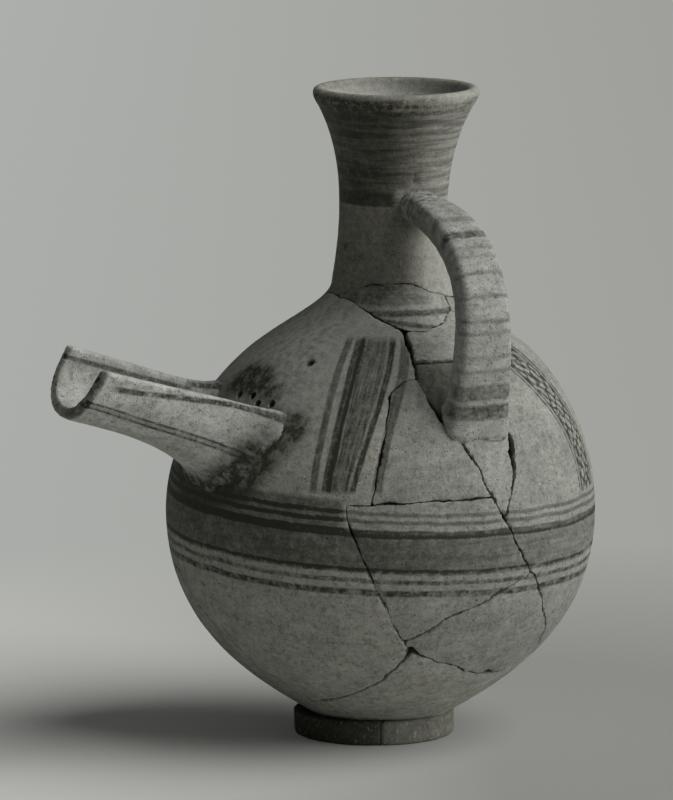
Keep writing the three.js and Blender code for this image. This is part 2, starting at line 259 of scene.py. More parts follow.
def thrown_sherd(node, ridge, seed):
    """A sherd drawn onto the wheel's curve, with throwing ridges, dents and worn break edges."""
    piece = even_skin(node, SHERD_VOXEL, SHERD_ROUNDS)
    points = points_of(piece)
    reach = break_reach(points)
    closing = BREAK_CLOSE * (1 - ease(reach, 0, BREAK_CLOSE_REACH))
    points = points + normals_of(piece) * closing[:, None]
    points = jagged(points, reach)
    _, outward = wheel_place(points)
    place_points(piece, points + outward * skin_shift(points, reach, ridge, seed)[:, None])
    for chip in LOST_CHIPS:
        pressed(piece, *chip)
    return piece


BRUSH_EDGE = 0.3


class Shade:
    """A socket in a material's nodes. Sums of Shades add Math nodes, so a mask reads as a formula."""

    def __init__(self, tree, socket):
        self.tree = tree
        self.socket = socket

    def node(self, kind, inputs, output=0, **settings):
        made = self.tree.nodes.new(kind)
        for name, value in settings.items():
            setattr(made, name, value)
        for name, value in inputs.items():
            if isinstance(value, Shade):
                self.tree.links.new(value.socket, made.inputs[name])
            else:
                made.inputs[name].default_value = value
        return Shade(self.tree, made.outputs[output])

    def math(self, operation, *values, clamped=False):
        inputs = dict(enumerate(values))
        return self.node("ShaderNodeMath", inputs, operation=operation, use_clamp=clamped)

    def __add__(self, other):
        return self.math("ADD", self, other)

    def __radd__(self, other):
        return self.math("ADD", other, self)

    def __sub__(self, other):
        return self.math("SUBTRACT", self, other)

    def __rsub__(self, other):
        return self.math("SUBTRACT", other, self)

    def __mul__(self, other):
        return self.math("MULTIPLY", self, other)

    def __rmul__(self, other):
        return self.math("MULTIPLY", other, self)

    def __truediv__(self, other):
        return self.math("DIVIDE", self, other)

    def __rtruediv__(self, other):
        return self.math("DIVIDE", other, self)

    def __abs__(self):
        return self.math("ABSOLUTE", self)

    def clamped(self):
        return self.math("ADD", self, 0.0, clamped=True)

    def above(self, edge, soft):
        """One where the value is over the edge, and zero under it."""
        return self.math("MULTIPLY_ADD", self - edge, 0.5 / soft, 0.5, clamped=True)

    def below(self, edge, soft):
        return self.math("MULTIPLY_ADD", edge - self, 0.5 / soft, 0.5, clamped=True)

    def stripe(self, middle, width, soft=BRUSH_EDGE):
        """One within half a width of the middle."""
        return abs(self - middle).below(0.5 * width, soft)

    def lines(self, painted, soft=BRUSH_EDGE):
        """Painted lines, each with its middle, its width and its strength."""
        return sum(self.stripe(middle, width, soft) * strength for middle, width, strength in painted)

    def mix(self, under, over):
        """The colour under where the value is zero, and the colour over where it is one."""
        return self.node("ShaderNodeMix", {0: self, 6: under, 7: over}, output=2, data_type="RGBA")


SCREEN_WHITE = 255
SCREEN_GAMMA = 2.2


def tint(red, green, blue):
    """A colour written in screen values, as the shader's sockets take it."""
    return tuple((value / SCREEN_WHITE) ** SCREEN_GAMMA for value in (red, green, blue)) + (1.0,)


WOBBLE_SIZE = 14
SPECKLE_SIZE = 1.1
MOTTLE_SIZE = 12
SAND_SIZE = 0.9
NOISE_ROUGHNESS = 0.6
STROKE_DRAW = 0.06
BLOT_SOFTNESS = 0.6


class Ground:
    """Where a material's point lies on the jug, in millimetres and degrees, with shared noise."""

    def __init__(self, material):
        self.tree = material.node_tree
        spot = Shade(self.tree, None).node("ShaderNodeTexCoord", {}, output=3)
        self.point = spot.node("ShaderNodeVectorMath", {0: spot, 3: 1 / MM}, operation="SCALE")
        self.x = self.point.node("ShaderNodeSeparateXYZ", {0: self.point}, output=0)
        self.y = self.point.node("ShaderNodeSeparateXYZ", {0: self.point}, output=1)
        self.z = self.point.node("ShaderNodeSeparateXYZ", {0: self.point}, output=2)
        self.radius = self.x.math("SQRT", self.x * self.x + self.y * self.y)
        self.longitude = self.x.math("ARCTAN2", self.y, self.x) * (180 / math.pi)
        self.wobble = self.grain(WOBBLE_SIZE, 2) - 0.5
        self.speckle = self.grain(SPECKLE_SIZE, 3)
        self.mottle = self.grain(MOTTLE_SIZE, 4)
        self.pits = self.grain(SAND_SIZE, 1).above(0.68, 0.04)

    def field(self, vector, size, detail):
        inputs = {"Vector": vector, "Scale": 1 / size, "Detail": detail, "Roughness": NOISE_ROUGHNESS}
        return vector.node("ShaderNodeTexNoise", inputs)

    def grain(self, size, detail, stretch=(1, 1, 1)):
        """Noise from 0 to 1 with features of the given size, stretched along the axes."""
        inputs = {0: self.point, 1: stretch}
        vector = self.point.node("ShaderNodeVectorMath", inputs, operation="MULTIPLY")
        return self.field(vector, size, detail)

    def strokes(self, across, along, size):
        """Noise from 0 to 1 drawn out along the strokes of a brush."""
        vector = self.point.node("ShaderNodeCombineXYZ", {0: across, 1: along * STROKE_DRAW})
        return self.field(vector, size, 3)

    def blot(self, longitude, height, radius, reach):
        """A round soft patch about a point on the skin."""
        turn = math.radians(longitude)
        inputs = {0: self.point, 1: (radius * math.cos(turn), radius * math.sin(turn), height)}
        gap = self.point.node("ShaderNodeVectorMath", inputs, output=1, operation="DISTANCE")
        return gap.below(reach, BLOT_SOFTNESS * reach)

    def facing(self, azimuth):
        """One on the side towards an azimuth, minus one on the far side."""
        turn = math.radians(azimuth)
        return (self.x * math.cos(turn) + self.y * math.sin(turn)) / self.radius

    def attribute(self, name):
        return self.point.node("ShaderNodeAttribute", {}, output=2, attribute_name=name)


CLAY_WALL = (141, 141, 133)
CLAY_FRONT = (129, 130, 123)
CLAY_PALE = (156, 157, 151)
CLAY_DARK = (126, 125, 115)
CLAY_GRIT = (78, 78, 70)
PAINT = (48, 47, 40)
SOOT = (52, 50, 42)
PATCH_SIZE = 3.0
WIPE_SIZE = 1.5
WIPE_STRETCH = (0.14, 0.14, 1.0)
GRIT_SIZE = 2.0
FLECK_SIZE = 1.5
WEAR_SIZE = 3.2
BUMP_SIZES = (0.8, 2.6)
BUMP_HEIGHT = 0.5 * MM
CLAY_ROUGHNESS = 0.86
CLAY_SPECULAR = 0.3


def clay_colour(ground, tone, bare):
    """The fired clay: mottled and wiped, with dark grit and pale flecks, and paler where it is bare or
    smeared and where light is painted on.
    """
    patches = ground.grain(PATCH_SIZE, 3)
    wiping = ground.grain(WIPE_SIZE, 3, WIPE_STRETCH)
    sand = ground.grain(SAND_SIZE, 2)
    shade = ground.mottle * 0.75 + patches * 0.6 + wiping * 0.45 + sand * 1.2 - 0.5
    body = shade.node("ShaderNodeVectorMath", {0: tint(*tone)[:3], 3: shade}, operation="SCALE")
    grit = (ground.grain(GRIT_SIZE, 3).above(0.61, 0.07) * 0.45 + ground.pits * 0.8).clamped()
    pale = ground.grain(FLECK_SIZE, 2).above(0.66, 0.06) * 0.4
    if bare:
        pale = (pale + bare(ground) * (0.5 + patches)).clamped()
    return pale.mix(grit.mix(body, tint(*CLAY_GRIT)), tint(*CLAY_PALE))


def paint_left(ground, paint, wear):
    """How fully the paint still covers the clay, where it has not worn or flaked off."""
    rubbed = ground.grain(WEAR_SIZE, 5).above(0.57, 0.12) * 0.5
    flaked = ground.speckle.above(0.58, 0.08) * 0.35
    return (paint(ground) * (1 - (rubbed + flaked) * wear)).clamped()


def clay_material(name, tone, paint=None, stains_and_shade=None, bare=None, wear=1.0, rough=0.45):
    """Fired clay with grit, with worn dark paint over it, and soot, stains, painted shade and dirty
    breaks over that.
    """
    material = bpy.data.materials.new(name)
    material.use_nodes = True
    ground = Ground(material)
    colour = clay_colour(ground, tone, bare)
    gloss = CLAY_ROUGHNESS + ground.mottle * 0.08
    if paint:
        covered = paint_left(ground, paint, wear)
        colour = covered.mix(colour, tint(*PAINT))
        gloss = gloss - covered * 0.12
    soiled_and_shaded = ground.attribute("dirt") * 0.75
    # The stains carry painted shade as well as soot and grime.
    if stains_and_shade:
        soiled_and_shaded = soiled_and_shaded + stains_and_shade(ground) * (0.6 + ground.speckle * 0.7)
    colour = soiled_and_shaded.clamped().mix(colour, tint(*SOOT))
    relief = ground.grain(BUMP_SIZES[0], 3) * 0.6 + ground.grain(BUMP_SIZES[1], 2) - ground.pits * 0.9
    bump = relief.node("ShaderNodeBump", {"Height": relief, "Strength": rough, "Distance": BUMP_HEIGHT})
    shader = material.node_tree.nodes["Principled BSDF"]
    material.node_tree.links.new(colour.socket, shader.inputs["Base Color"])
    material.node_tree.links.new(bump.socket, shader.inputs["Normal"])
    material.node_tree.links.new(gloss.socket, shader.inputs["Roughness"])
    shader.inputs["Specular IOR Level"].default_value = CLAY_SPECULAR
    return material


def keep(piece, name, values):
    """Stores a value for each vertex, for the piece's own paint to follow."""
    layer = piece.data.attributes.new(name, "FLOAT", "POINT")
    layer.data.foreach_set("value", np.asarray(values, float))


CRISP_EDGE = math.radians(45)
DIRT_STARTS = (0.5, 1.3)
DIRT_ENDS = (WALL - 0.9, WALL - 0.3)
DIRT_TOP = LIP[1] - 5


def finish_sherd(piece):
    """Soils the broken faces between the outer and the inner skin, and keeps their edges crisp."""
    points = points_of(piece)
    depth, _ = wheel_place(points)
    dirt = ease(depth, *DIRT_STARTS) * (1 - ease(depth, *DIRT_ENDS))
    keep(piece, "dirt", dirt * (points[:, 2] < DIRT_TOP))
    piece.data.set_sharp_from_angle(angle=CRISP_EDGE)


def dress(piece, node, material):
    piece.data.materials.append(material)
    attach(piece, "root")
    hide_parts(node)


BAND_TILT = (-0.0238, 0.0467)
BAND_WOBBLE = 1.6
BAND_WASH = (69.2, 81.6)
BAND_FAR_WASH = (82, 92)
BAND_FAR_SIDE = (-130, 45)
BAND_UPPER_LINES = ((88.4, 1.3, 0.65), (85.8, 1.3, 0.7), (82, 2.5, 0.95))
BAND_LOWER_LINES = ((69.3, 1.8, 0.75), (65.8, 1.5, 0.85), (61.8, 2.2, 0.95))
BAND_STREAK = 2.2
BAND_STRETCH = (0.12, 0.12, 1.0)
BAND_RUBBING = 2.4
BAND_FADED_AZIMUTH = 125


def belly_band(ground):
    """Bands painted round the belly on a slow wheel, not quite level."""
    level = ground.z + ground.x * BAND_TILT[0] + ground.y * BAND_TILT[1] + ground.wobble * BAND_WOBBLE
    streak = ground.grain(BAND_STREAK, 3, BAND_STRETCH)
    faded = ground.facing(BAND_FADED_AZIMUTH).above(0.65, 0.35)
    thin = 0.5 + 0.6 * streak - faded * (0.65 - 0.6 * streak)
    wash = level.above(BAND_WASH[0], 0.5) * level.below(BAND_WASH[1], 0.5) * thin
    turn = ground.longitude
    far_side = turn.above(BAND_FAR_SIDE[0], 1.5) * turn.below(BAND_FAR_SIDE[1], 1.5)
    far_wash = level.above(BAND_FAR_WASH[0], 0.5) * level.below(BAND_FAR_WASH[1], 0.8) * far_side
    rubbed = 0.45 + 0.7 * ground.grain(BAND_RUBBING, 5).above(0.48, 0.1)
    lines = level.lines(BAND_UPPER_LINES) + level.lines(BAND_LOWER_LINES) * rubbed
    return wash + far_wash * (0.5 + 0.5 * streak) + lines * (0.45 + streak)


PANEL_FOOT = 93
PANEL_HEIGHTS = (93.5, 139.5)
PANEL_WOBBLE = 0.8
PANEL_LEFT_EDGE = (40.2, 0.11, 0)
PANEL_RIGHT_EDGE = (47.9, 0.2, 0.0028)
PANEL_SLIPS = ((-2.4, 0.7, 0.6), (-4.8, 0.4, 0.3))
PANEL_BORDER = ((-0.8, 1.7, 0.4),)
PANEL_STRIPES = (
    ((36.4, 0.037, 0), 2.4, 0.8),
    ((40.0, 0.095, 0), 3.1, 1.0),
    ((53.9, 0.1, 0.0045), 3.4, 0.75),
)
PANEL_BRUSH = 0.9


def striped_panel(ground):
    """An upright panel of painted stripes on the shoulder, fanning out towards the collar."""
    rise = ground.z - PANEL_FOOT
    turn = ground.longitude + ground.wobble * PANEL_WOBBLE
    scale = ground.radius * (math.pi / 180)
    height = ground.z.above(PANEL_HEIGHTS[0], 0.8) * ground.z.below(PANEL_HEIGHTS[1], 1.2)

    def offset(start, lean, curl):
        return (turn - start - rise * lean - rise * rise * curl) * scale

    left_edge = offset(*PANEL_LEFT_EDGE)
    right_edge = offset(*PANEL_RIGHT_EDGE)
    brush = ground.strokes(left_edge, ground.z, PANEL_BRUSH)
    slip = 1 - right_edge.lines(PANEL_SLIPS)
    panel = left_edge.above(0, 0.3) * right_edge.below(0, 0.4) * slip * (0.3 + brush)
    stripes = sum(offset(*place).stripe(0, width) * strength for place, width, strength in PANEL_STRIPES)
    return (stripes + panel + right_edge.lines(PANEL_BORDER)) * height * (0.5 + 0.9 * brush)


NET_EDGE = 123.5
NET_BEND_HEIGHT = 95
NET_BEND = 0.0108
NET_WOBBLE = 0.8
NET_HEIGHTS = (87, 135)
NET_LINES = ((0, 0.9, 1), (2.0, 1.2, 1), (13.8, 1.6, 1), (16.2, 1.2, 1))
NET_INSIDE = (2.4, 13.4)
NET_PITCH = 4.6
NET_STROKES = ((0.9, 0.23, 0.08), (-0.9, 0.14, 0.06))
NET_HASTE = 7
NET_HASTE_SIZE = 4.5
NET_RUBBING = 2.2


def net_strip(ground):
    """An upright strip of hasty crossed strokes between double lines, on the handle's side."""
    rise = ground.z.math("MAXIMUM", ground.z - NET_BEND_HEIGHT, 0)
    scale = ground.radius * (math.pi / 180)
    turn = ground.longitude + ground.wobble * NET_WOBBLE
    across = (turn - NET_EDGE + rise * rise * NET_BEND) * scale
    height = ground.z.above(NET_HEIGHTS[0], 0.8) * ground.z.below(NET_HEIGHTS[1], 1)
    inside = across.above(NET_INSIDE[0], 0.3) * across.below(NET_INSIDE[1], 0.3)
    hasty = (ground.grain(NET_HASTE_SIZE, 2) - 0.5) * NET_HASTE

    def crossing(slant, width, soft):
        steps = (ground.z + across * slant + hasty) / NET_PITCH
        return abs(steps.math("FRACT", steps) - 0.5).below(width, soft)

    crossed = sum(crossing(*stroke) for stroke in NET_STROKES)
    rubbed = 0.3 + 0.8 * ground.grain(NET_RUBBING, 4).above(0.46, 0.12)
    return (across.lines(NET_LINES) + crossed * inside) * height * rubbed


def wall_paint(ground):
    return belly_band(ground) + striped_panel(ground) + net_strip(ground)


WALL_PAINT_WEAR = 0.6
SHERD_RIDGES = {
    "handle_wall": (0.04, 2.0),
    "front_shoulder_sherd": (0.04, 3.0),
    "front_belly_sherd": (0.05, 4.0),
    "belly_corner_sherd": (0.05, 5.0),
    "handle_root_sherd": (0.04, 6.0),
}
for node, (ridge, seed) in SHERD_RIDGES.items():
    sherd = thrown_sherd(node, ridge, seed)
    finish_sherd(sherd)
    ware = clay_material(node + "_ware", CLAY_FRONT, wall_paint, wear=WALL_PAINT_WEAR)
    dress(sherd, node, ware)

base = thrown_sherd("base_bowl", ridge=0.05, seed=7.0)
finish_sherd(base)
dress(base, "base_bowl", clay_material("base_ware", CLAY_WALL))

# The strainer and the wall round it
# The largest sherd: round holes were pushed through its wet clay where the spout would sit. Soot and
# seepage have stained it round the spout's root, and a grain of grit has left a pit above the holes.

STRAINER_HOLE = 3.0
STRAINER_HOLES = (
    (-2.5, 37.6), (4.8, 38.2), (9.2, 36.1), (15.4, 36.6),
    (-8, 33), (-2.1, 32.5), (3.8, 32), (9.7, 31.5),
    (-5, 27.3), (0.2, 26.8), (5.4, 26.3),
)
DRILL_SIDES = 24
DRILL_LENGTH = 40


def pierced(piece):
    """Cuts the strainer's holes cleanly, each along a ray from the middle of the belly."""
    drills = bmesh.new()
    radius = STRAINER_HOLE / 2 * MM
    for longitude, latitude in STRAINER_HOLES:
        turn = Euler((0, math.radians(90 - latitude), math.radians(longitude))).to_matrix().to_4x4()
        middle = turn @ Vector((0, 0, BELLY[0] * MM)) + Vector((0, 0, BELLY[1] * MM))
        bmesh.ops.create_cone(
            drills, cap_ends=True, segments=DRILL_SIDES, radius1=radius, radius2=radius,
            depth=DRILL_LENGTH * MM, matrix=Matrix.Translation(middle) @ turn,
        )
    drill_mesh = bpy.data.meshes.new("strainer_drills")
    drills.to_mesh(drill_mesh)
    drills.free()
    cutter = bpy.data.objects.new("strainer_drills", drill_mesh)
    bpy.context.scene.collection.objects.link(cutter)
    cut = piece.modifiers.new("pierced", "BOOLEAN")
    cut.operation = "DIFFERENCE"
    cut.solver = "MANIFOLD"
    cut.object = cutter
    apply_modifiers(piece)
    piece.data.materials.clear()
    bpy.data.objects.remove(cutter)


SOOT_BLOTS = (
    (-8.9, 123.8, 52.3, 5), (-2.5, 126, 50.3, 6), (6, 124, 52.3, 5), (14.3, 122, 54.2, 3),
    (28.3, 113.4, 61.1, 4),
)
SOOT_SIZE = 3.2
GRIME_SIZE = 2.4
GRIME_HEIGHT = 112
GRIME_LONGITUDE = 32
GRIT_PIT = (23.1, 132.2)
GRIT_PIT_RADIUS = 1.2
GRIT_PIT_DEPTH = 2.0
GRIT_PIT_SHADE = 1.5
SHOULDER_LIT_TOP = 120
SHOULDER_LIT_AZIMUTH = -35


def ragged(ground):
    """The broken edge of a patch of soot."""
    return ground.grain(SOOT_SIZE, 5).above(0.38, 0.2)


def spout_soot_and_pit_shade(ground):
    """Soot over the strainer and round the spout's root, grime on the shoulder, and painted shade in the
    pit.
    """
    blots = sum(ground.blot(*spot) for spot in SOOT_BLOTS) + ground.attribute("soot")
    upper = ground.z.above(GRIME_HEIGHT, 10) * ground.longitude.below(GRIME_LONGITUDE, 10)
    grime = upper * ground.grain(GRIME_SIZE, 4).above(0.54, 0.1) * 0.4
    # Painted shade: the pit is darkened round its hollow.
    pit = ground.blot(*GRIT_PIT, skin_radius(*GRIT_PIT), GRIT_PIT_SHADE)
    return (blots.clamped() * ragged(ground) + grime + pit).clamped()


def root_smear_and_lit_shoulder(ground):
    """Pale clay smeared over the wall beside the spout's root, and painted light on the top of the
    shoulder.
    """
    # Painted light: the top of the shoulder is paler, most of all on its far side.
    far_shoulder_lit = ground.facing(SHOULDER_LIT_AZIMUTH).above(0.5, 0.3)
    shoulder = ground.z.above(SHOULDER_LIT_TOP, 12) * (0.35 + far_shoulder_lit * 0.5)
    return ground.attribute("smear") * 0.9 + shoulder


spout_sherd = thrown_sherd("spout_wall", ridge=0.05, seed=1.0)
pressed(spout_sherd, *GRIT_PIT, GRIT_PIT_RADIUS, GRIT_PIT_DEPTH)
pierced(spout_sherd)
finish_sherd(spout_sherd)
spout_wall_ware = clay_material(
    "spout_wall_ware", CLAY_WALL, wall_paint, spout_soot_and_pit_shade, root_smear_and_lit_shoulder, wear=WALL_PAINT_WEAR
)
dress(spout_sherd, "spout_wall", spout_wall_ware)

# The neck and the collar below it
# Thrown with the pot: a flared neck whose upper half is painted dark on the turning wheel, with a
# worn lip, broken off at its root, and the lens-shaped sherd of the collar with its painted lines.

NECK_WORN_AND_LIT_AZIMUTH = 130
NECK_COAT = (181.3, 218.2)
NECK_FOOT_LINE = 185.8
NECK_STREAK = 1.5
NECK_STRETCH = (0.07, 0.07, 1.0)
NECK_BARE_SPOT = (80, 184, 19.5, 3)
NECK_LIP_WEAR = 213.5
NECK_LIP_CHIP = 1.6
NECK_FULL_LIP = 211
NECK_SHADE_TOP = 181
NECK_KNOCK = (5, 167, 15.5, 1.0)
NECK_NOTCH = (88.2, 189.8)
NECK_NOTCH_RADIUS = 1.3
NECK_NOTCH_DEPTH = 1.0
NECK_HOLLOW = (0.6 * WALL, 0.9 * WALL)
NECK_PAINT_WEAR = 0.4


def neck_paint(ground):
    """Paint drawn round the turning neck with a full brush, worn on the lip and towards the handle."""
    streak = ground.grain(NECK_STREAK, 5, NECK_STRETCH).above(0.5, 0.1)
    worn_side = ground.facing(NECK_WORN_AND_LIT_AZIMUTH).above(0.64, 0.3)
    bare = ground.blot(*NECK_BARE_SPOT)
    lip_wear = ground.z.above(NECK_LIP_WEAR, 1.5) * ground.grain(NECK_LIP_CHIP, 3).above(0.52, 0.1) * 0.6
    full_lip = ground.z.above(NECK_FULL_LIP, 2) * ground.facing(NECK_WORN_AND_LIT_AZIMUTH).below(0.3, 0.5) * 0.35
    cover = 0.76 + streak * 0.3 - worn_side * (0.84 - streak * 0.35) - bare - lip_wear + full_lip
    coat = ground.z.above(NECK_COAT[0], 0.5) * ground.z.below(NECK_COAT[1], 0.8) * cover
    foot_line = ground.z.above(NECK_COAT[0], 0.4) * ground.z.below(NECK_FOOT_LINE, 0.8)
    foot = foot_line * (1 - worn_side - bare).clamped() * 0.3
    return (coat + foot).clamped() * (1 - ground.attribute("inner"))


def neck_bare_and_lit_side(ground):
    """Bare clay inside the mouth, and paler clay on the handle's side, which faces the lamp: a painted
    light.
    """
    # Painted light: the clay is paler on the side that faces the lamp.
    return ground.attribute("inner") * 0.5 + ground.facing(NECK_WORN_AND_LIT_AZIMUTH).above(0.79, 0.12) * 0.4


def neck_painted_shade_and_knock(ground):
    """A dim wash of painted shade on the side away from the handle and the lamp, and a small knock."""
    # Painted shade: the wash darkens the neck's side away from the lamp.
    far_side = ground.facing(NECK_WORN_AND_LIT_AZIMUTH).below(0.72, 0.12)
    wash = far_side * ground.z.below(NECK_SHADE_TOP, 0.5) * (1 - ground.attribute("inner"))
    return wash * 0.42 + ground.blot(*NECK_KNOCK) * 0.5


COLLAR_WOBBLE = 1.2
COLLAR_WASH = 148.8
COLLAR_WASH_END = 96
COLLAR_LINE = (146.4, 1.7)
COLLAR_SLOPED_LINE = (144.6, 1.4)
COLLAR_SLOPE = 0.07
COLLAR_SLOPE_START = 56
COLLAR_SLOPED_ENDS = (50, 100)
COLLAR_BRUSH = 1.4
COLLAR_STRETCH = (0.1, 0.1, 1.0)


def collar_paint(ground):
    """Two lines painted round the collar, and a darker wash above them."""
    turn = ground.longitude
    level = ground.z + ground.wobble * COLLAR_WOBBLE
    sloped = level + (turn - COLLAR_SLOPE_START) * COLLAR_SLOPE
    brush = ground.grain(COLLAR_BRUSH, 3, COLLAR_STRETCH)
    wash = level.above(COLLAR_WASH, 0.5) * turn.below(COLLAR_WASH_END, 8) * (0.3 + 0.8 * brush)
    ends = turn.above(COLLAR_SLOPED_ENDS[0], 4) * turn.below(COLLAR_SLOPED_ENDS[1], 4)
    lines = level.stripe(*COLLAR_LINE) + sloped.stripe(*COLLAR_SLOPED_LINE) * ends
    return (wash + lines) * (0.5 + 0.8 * brush)


neck = thrown_sherd("neck", ridge=0.1, seed=8.0)
pressed(neck, *NECK_NOTCH, NECK_NOTCH_RADIUS, NECK_NOTCH_DEPTH)
neck_depth, _ = wheel_place(points_of(neck))
keep(neck, "inner", ease(neck_depth, *NECK_HOLLOW))
finish_sherd(neck)
neck_ware = clay_material("neck_ware", CLAY_DARK, neck_paint, neck_painted_shade_and_knock, neck_bare_and_lit_side, wear=NECK_PAINT_WEAR)
dress(neck, "neck", neck_ware)
collar = thrown_sherd("collar_sherd", ridge=0.05, seed=9.0)
finish_sherd(collar)
dress(collar, "collar_sherd", clay_material("collar_ware", CLAY_FRONT, collar_paint))

# The mender's fill
# Toned plaster, sunk under the skin of the pot between the collar and the handle's lower end, and
# trowelled up to meet the collar at its top.

FILL_TONE = (92, 92, 84)
FILL_VOXEL = 0.6
FILL_ROUNDS = 2
FILL_RISE = 1.1
FILL_RISE_STARTS = 5
FILL_RISE_ENDS = 1
FILL_SINK = 0.25
FILL_LUMP_SIZE = 2.5
FILL_ROUGHNESS = 0.5

fill = even_skin("shoulder_fill", FILL_VOXEL, FILL_ROUNDS)
fill_points = points_of(fill)
_, fill_out = wheel_place(fill_points)
fill_top = fill_points[:, 2].max()
fill_rise = FILL_RISE * ease(fill_points[:, 2], fill_top - FILL_RISE_STARTS, fill_top - FILL_RISE_ENDS)
fill_sink = FILL_SINK * (1 + lumps(fill_points, FILL_LUMP_SIZE, seed=11.0))
fill_points += fill_out * (fill_rise - fill_sink)[:, None]
place_points(fill, fill_points)
fill_plaster = clay_material("fill_plaster", FILL_TONE, rough=FILL_ROUGHNESS)
dress(fill, "shoulder_fill", fill_plaster)

# The foot
# A thick clay disc luted under the base, a little off its axis, broken across and glued, with a
# worn edge. The smaller half has kept a paler skin; the larger half is near black, partly its own
# darker skin and partly painted shade from the belly above it.

FOOT_MIDDLE = (1.8, -1.26)
FOOT_RADIUS = 27.4
# The larger half's tone is partly its own darker skin and partly painted shade.
FOOT_HALVES = {"foot_main_half": ((62, 62, 54), 12.0), "foot_small_half": ((102, 102, 94), 13.0)}
FOOT_VOXEL = 0.6
FOOT_ROUNDS = 1
FOOT_WEAR = 0.3
FOOT_WEAR_SIZE = 6
FOOT_WORN_EDGE = (FOOT_RADIUS - 3, FOOT_RADIUS - 0.5)
FOOT_REST = 0.02
FOOT_ROUGHNESS = 0.6
BREAK_FACING = 0.5

for node, (tone, seed) in FOOT_HALVES.items():
    half = even_skin(node, FOOT_VOXEL, FOOT_ROUNDS)
    half_points = points_of(half)
    half_normals = normals_of(half)
    offset = half_points[:, :2] - FOOT_MIDDLE
    rim = np.hypot(offset[:, 0], offset[:, 1])
    spoke = offset / np.maximum(rim, TINY)[:, None]
    worn = ease(rim, *FOOT_WORN_EDGE) * FOOT_WEAR * (1 + lumps(half_points, FOOT_WEAR_SIZE, seed))
    half_points[:, :2] -= spoke * worn[:, None]
    on_break = np.abs((half_normals[:, :2] * spoke).sum(1)) < BREAK_FACING
    on_break &= np.abs(half_normals[:, 2]) < BREAK_FACING
    half_points += half_normals * (BREAK_CLOSE * on_break)[:, None]
    half_points[:, 2] = np.maximum(half_points[:, 2], FOOT_REST)
    place_points(half, half_points)
    dress(half, node, clay_material(node + "_ware", tone, rough=FOOT_ROUGHNESS))

# The trough spout
# A gutter of clay pressed to shape, open above, luted over the strainer with its clay smeared onto
# the wall. Its lip and edges are painted with long dark strokes.

SPOUT_REACH = 120.2
SPOUT_RIM_HEIGHT = 138.1
SPOUT_RISE = math.radians(16.3)
SPOUT_HALF_WIDTHS = (17.0, 13.85)
SPOUT_DEPTHS = (25.5, 20.7)
SPOUT_DEPTH_BEND = 3
SPOUT_CORNER_SET_BACK = 2.2
SPOUT_TWISTS = (math.radians(6.5), math.radians(14))
SPOUT_WALL = 4.0
GUTTER_SQUARENESS = 2.5
GUTTER_SKIN = (0.9, 1.1)
LUTED_FALL = 2.5
LUTED_LUMP_SIZE = 7
LUTED_SEAT = (0.4, 1.6)
LUTED_OVERLAP = 0.5


def luted(points, piece, smear, spread, seed):
    """Flares a root out over the pot's wall by each point's smear, as wet clay is, and seats it there."""
    depth, outward = wheel_place(points)
    gap = -depth
    normals = normals_of(piece)
    facing = (normals * outward).sum(1)
    sideways = normals - outward * facing[:, None]
    near = np.clip(1 - gap / spread, 0, 1) ** LUTED_FALL
    near = near * (0.8 + 0.5 * lumps(points, LUTED_LUMP_SIZE, seed))
    seat = (1 - ease(gap, *LUTED_SEAT)) * (gap + LUTED_OVERLAP)
    return points + sideways * (smear * near)[:, None] - outward * seat[:, None]


def gutter_place(points):
    """Drop of points below the spout's rims, and whether they are on its inner skin."""
    along = np.clip((points[:, 0] - BELLY[0]) / (SPOUT_REACH - BELLY[0]), 0, 1)
    half = np.interp(along, (0, 1), SPOUT_HALF_WIDTHS) - SPOUT_WALL / 2
    deepening = (1 - along) ** SPOUT_DEPTH_BEND
    deep = SPOUT_DEPTHS[1] + (SPOUT_DEPTHS[0] - SPOUT_DEPTHS[1]) * deepening - SPOUT_WALL / 2
    twist = np.interp(along, (0, 1), SPOUT_TWISTS)
    rim = SPOUT_RIM_HEIGHT - (SPOUT_REACH - points[:, 0]) * math.tan(SPOUT_RISE)
    lift = (points[:, 2] - rim) * math.cos(SPOUT_RISE)
    drop = -(lift * np.cos(twist) + points[:, 1] * np.sin(twist))
    side = points[:, 1] * np.cos(twist) - lift * np.sin(twist)
    wide = np.abs(side / half) ** GUTTER_SQUARENESS
    low = np.abs(np.maximum(drop, 0) / deep) ** GUTTER_SQUARENESS
    return drop, 1 - ease(wide + low, *GUTTER_SKIN)


SPOUT_TONE = (163, 164, 158)
SPOUT_WOBBLE = 0.9
SPOUT_BRUSH = 1.6
SPOUT_STRETCH = (0.1, 1.0, 1.0)
SPOUT_NARROWS = (96, 24)
SPOUT_EDGE_DROP = 1.2
SPOUT_EDGE_FALL = 3.4
SPOUT_EDGE_WIDTH = 1.8
SPOUT_EDGE_END = 115
SPOUT_SIDE_DROP = 16
SPOUT_SIDE_CLIMB = 4.5
SPOUT_SIDE_START = 63
SPOUT_SIDE_LINES = ((0, 2.4, 0.45), (-1.0, 0.8, 0.6), (1.0, 0.8, 0.6))
SPOUT_INNER_LINE = (3.0, 1.7)
SPOUT_LIP_LINE = 0.5
ROOT_SOOT_DROP = 7


